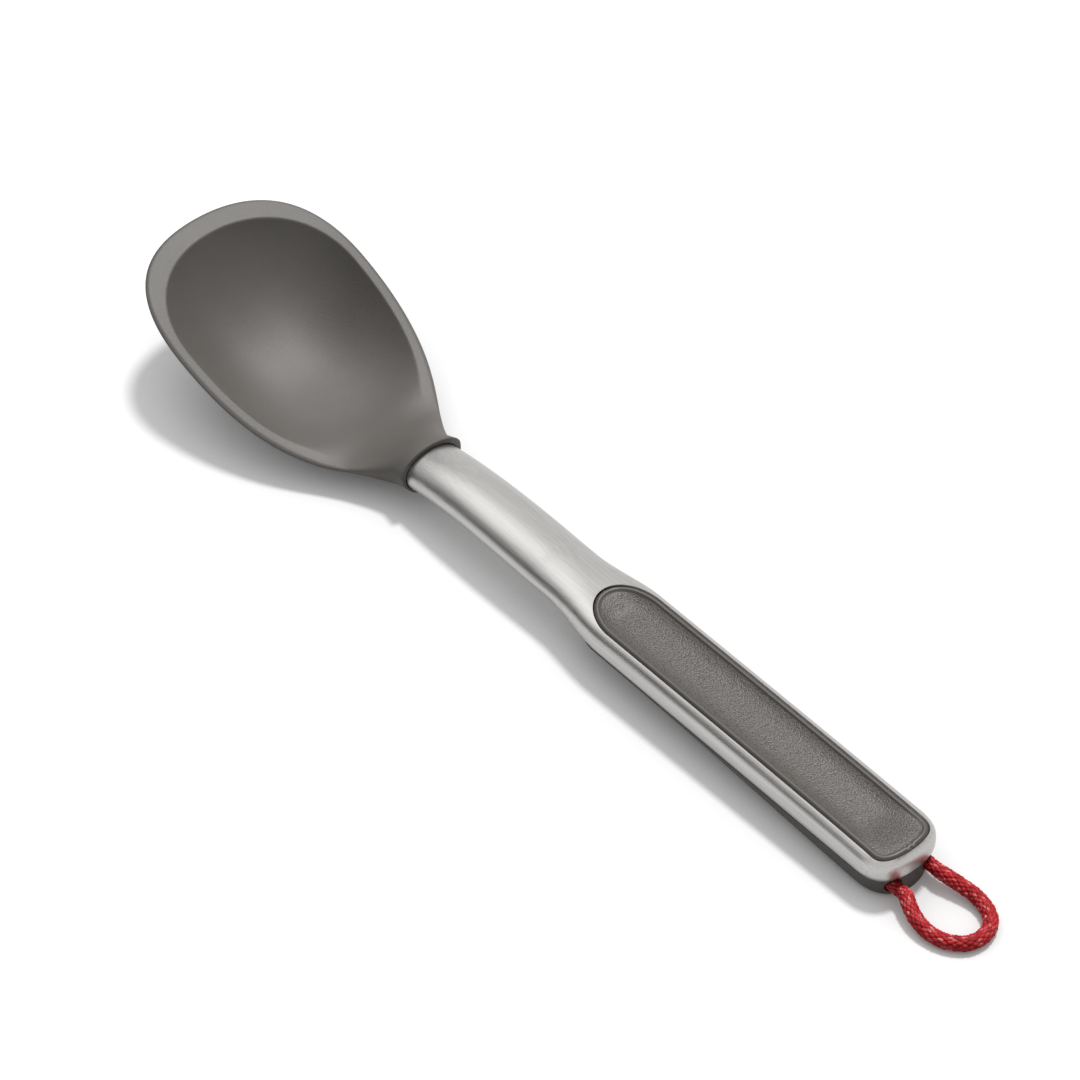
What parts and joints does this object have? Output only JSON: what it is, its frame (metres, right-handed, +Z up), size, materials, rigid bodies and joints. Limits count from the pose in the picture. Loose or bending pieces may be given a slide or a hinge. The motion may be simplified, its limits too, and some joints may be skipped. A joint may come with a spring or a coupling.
{
  "type": "cooking spoon",
  "caption": "Silicone-headed cooking spoon with a deep egg-shaped bowl, a brushed steel tube handle, soft grip pads above and below, and a braided cord hanging loop.",
  "frame": {"origin": "on the worktop, under the middle of the spoon without its cord loop, as it lies on its bowl and its underside grip", "axes": "+Z up, +X from the bowl to the tail of the handle, +Y across; the XZ plane is the plane of symmetry"},
  "size_m": [0.3176, 0.0664, 0.0342],
  "materials": {
    "silicone": "matte moulded silicone",
    "nylon": "moulded, matte",
    "steel": "brushed lengthwise",
    "soft_grip": "soft-touch, pebbled in the scoop",
    "cord": "round braid"
  },
  "bodies": {
    "spoon": {"silicone_head": "silicone", "head_core": "nylon", "steel_handle": "steel", "handle_carrier": "nylon", "top_grip_pad": "soft_grip", "underside_grip": "soft_grip", "held_cord": "cord"},
    "loop": {"hanging_loop": "cord"}
  },
  "joints": [
    {"name": "loop_swing", "type": "hinge", "parent": "spoon", "child": "loop", "pos_m": [0.1483, 0, 0.0042], "axis": [0, -1, 0], "range_deg": [-85, 90]}
  ]
}
